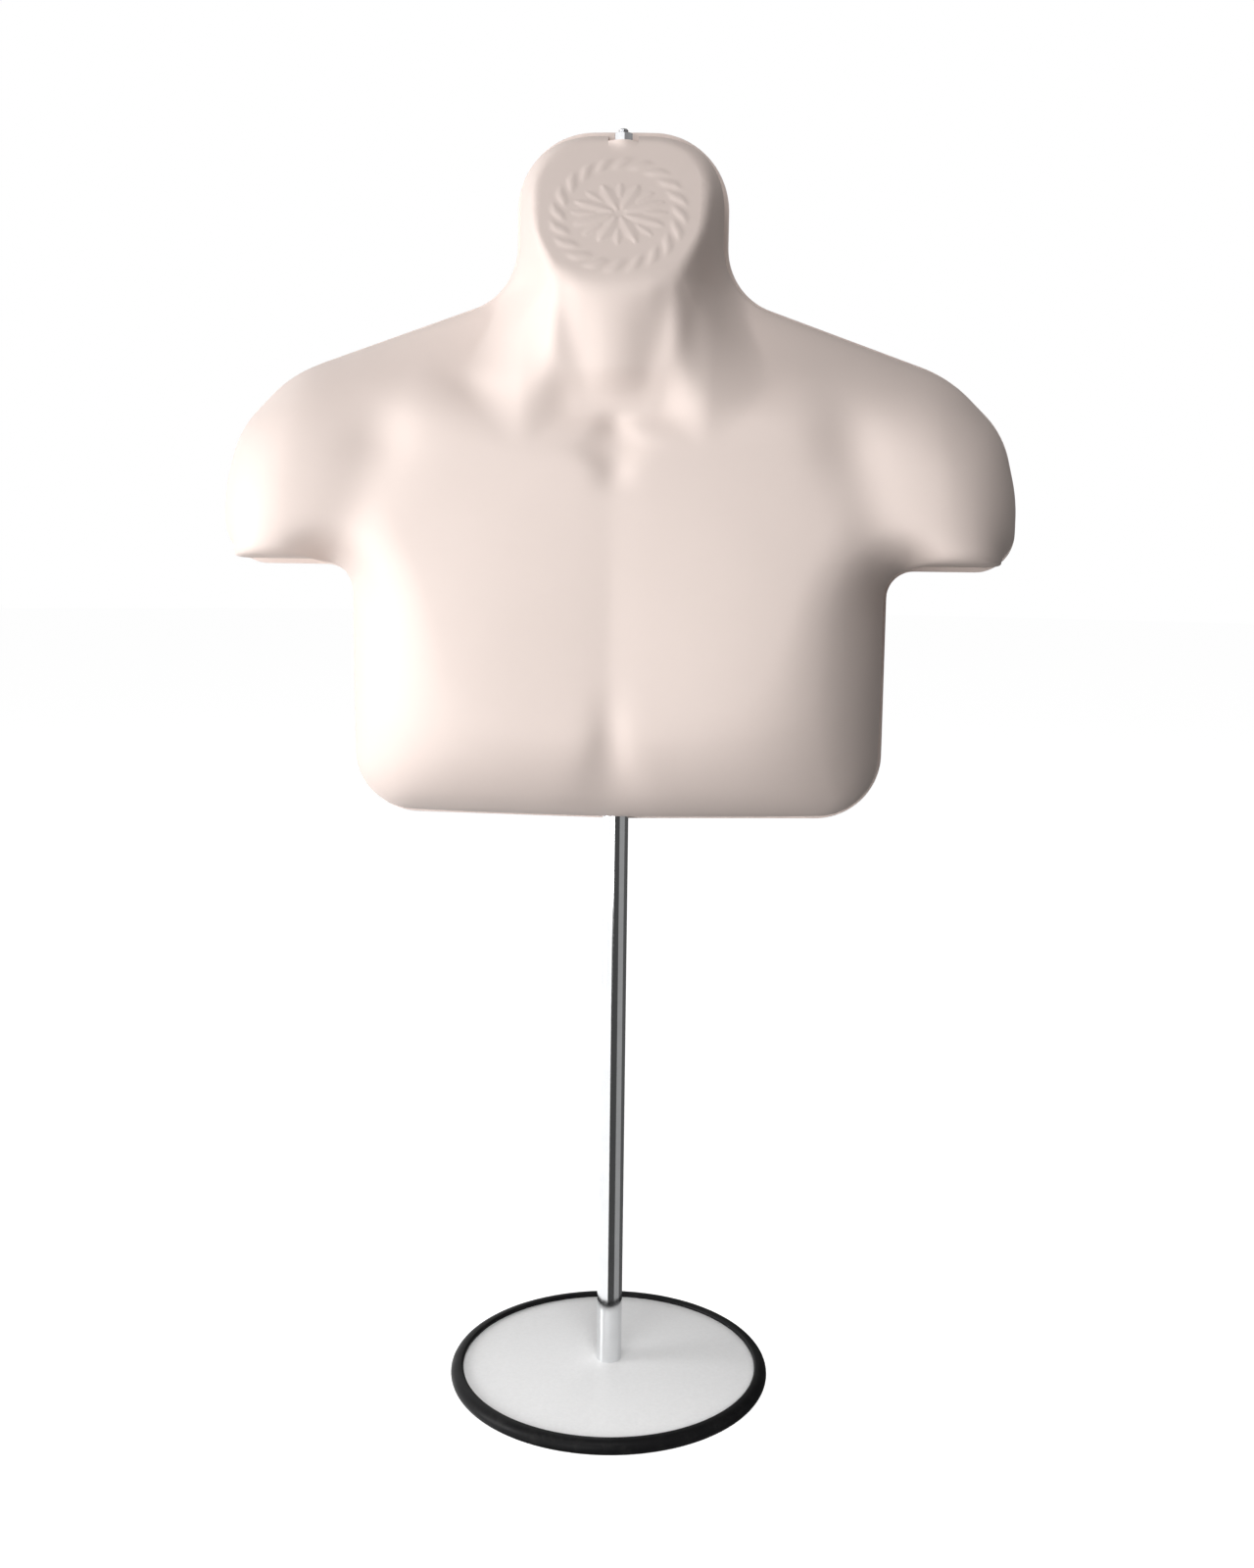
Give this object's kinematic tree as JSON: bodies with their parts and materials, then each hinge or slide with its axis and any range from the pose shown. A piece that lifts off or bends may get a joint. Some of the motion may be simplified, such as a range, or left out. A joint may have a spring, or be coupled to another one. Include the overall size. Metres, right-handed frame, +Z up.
{
  "type": "torso display form on stand",
  "caption": "Hollow-back upper-torso display form on a chromed pole with a round rubber-edged foot; the form turns on the pole under a neck nut.",
  "frame": {"origin": "the pole's axis at floor level, under the rubber edge", "axes": "+Z up along the pole, +X towards the form's left arm as seen from the front, the chest faces -Y"},
  "size_m": [0.4754, 0.203, 0.7686],
  "materials": {
    "form_plastic": "satin, faint orange peel",
    "disc_paint": "light grey satin powder coat",
    "edge_rubber": "black, slightly glossy",
    "pole_chrome": "bright chrome plate",
    "insert_steel": "turned steel",
    "nut_zinc": "bright zinc plate"
  },
  "bodies": {
    "stand": {"base_plate": "disc_paint", "base_rubber_ring": "edge_rubber", "base_bolt": "nut_zinc", "base_spring_washer": "nut_zinc", "base_flat_washer": "nut_zinc", "lower_pole": "pole_chrome", "lower_pole_foot_insert": "insert_steel", "lower_pole_top_insert": "insert_steel", "pole_joint_stud": "nut_zinc", "upper_pole": "pole_chrome", "upper_pole_bottom_insert": "insert_steel", "upper_pole_top_insert": "insert_steel", "neck_stud": "nut_zinc", "neck_jam_nut": "nut_zinc", "neck_support_washer": "nut_zinc", "neck_nut": "nut_zinc"},
    "form": {"form_shell": "form_plastic"}
  },
  "joints": [
    {"name": "form_swivel", "type": "hinge", "parent": "stand", "child": "form", "pos_m": [0, 0, 0.7606], "axis": [0, 0, 1], "continuous": true}
  ]
}
